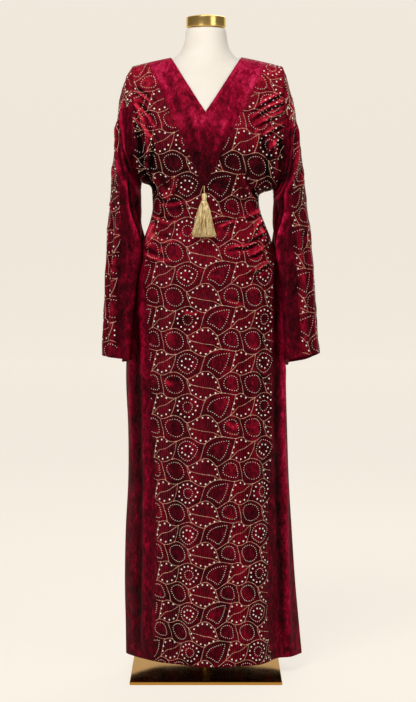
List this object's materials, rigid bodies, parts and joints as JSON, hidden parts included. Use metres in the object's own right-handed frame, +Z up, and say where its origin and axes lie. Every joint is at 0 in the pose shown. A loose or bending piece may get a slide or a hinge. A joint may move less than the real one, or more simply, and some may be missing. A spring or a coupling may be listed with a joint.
{
  "type": "jalabiya on a dress form",
  "caption": "Floor-length V-neck velvet jalabiya with long wide sleeves and a tassel, worn by a limbless dress form on a square base plate.",
  "frame": {"origin": "centre of the base plate's underside", "axes": "+Z up the pole, -Y out of the front of the garment, +X to the right of a viewer who faces the front"},
  "size_m": [0.5206, 0.351, 1.5602],
  "materials": {
    "velvet": "crushed crimson velvet with a mottled nap",
    "printed_velvet": "crushed wine velvet with copper-gold glitter vines and cream studs",
    "tassel_thread": "straw-gold silky thread",
    "form_cover": "smooth ivory jersey over a rigid form",
    "gold_metal": "polished gold plating",
    "pole_metal": "polished gold plating"
  },
  "bodies": {
    "root": {"front_panel": "printed_velvet", "front_yoke": "velvet", "back_panel": "velvet", "side_panel_left": "velvet", "side_panel_right": "velvet", "sleeve_left_print": "printed_velvet", "sleeve_left_plain": "velvet", "sleeve_right_print": "printed_velvet", "sleeve_right_plain": "velvet", "tassel_cord": "tassel_thread", "tassel_head": "tassel_thread", "tassel_skirt": "tassel_thread", "form_torso": "form_cover", "neck_cap": "gold_metal", "form_pole": "pole_metal", "base_plate": "gold_metal"}
  },
  "joints": []
}
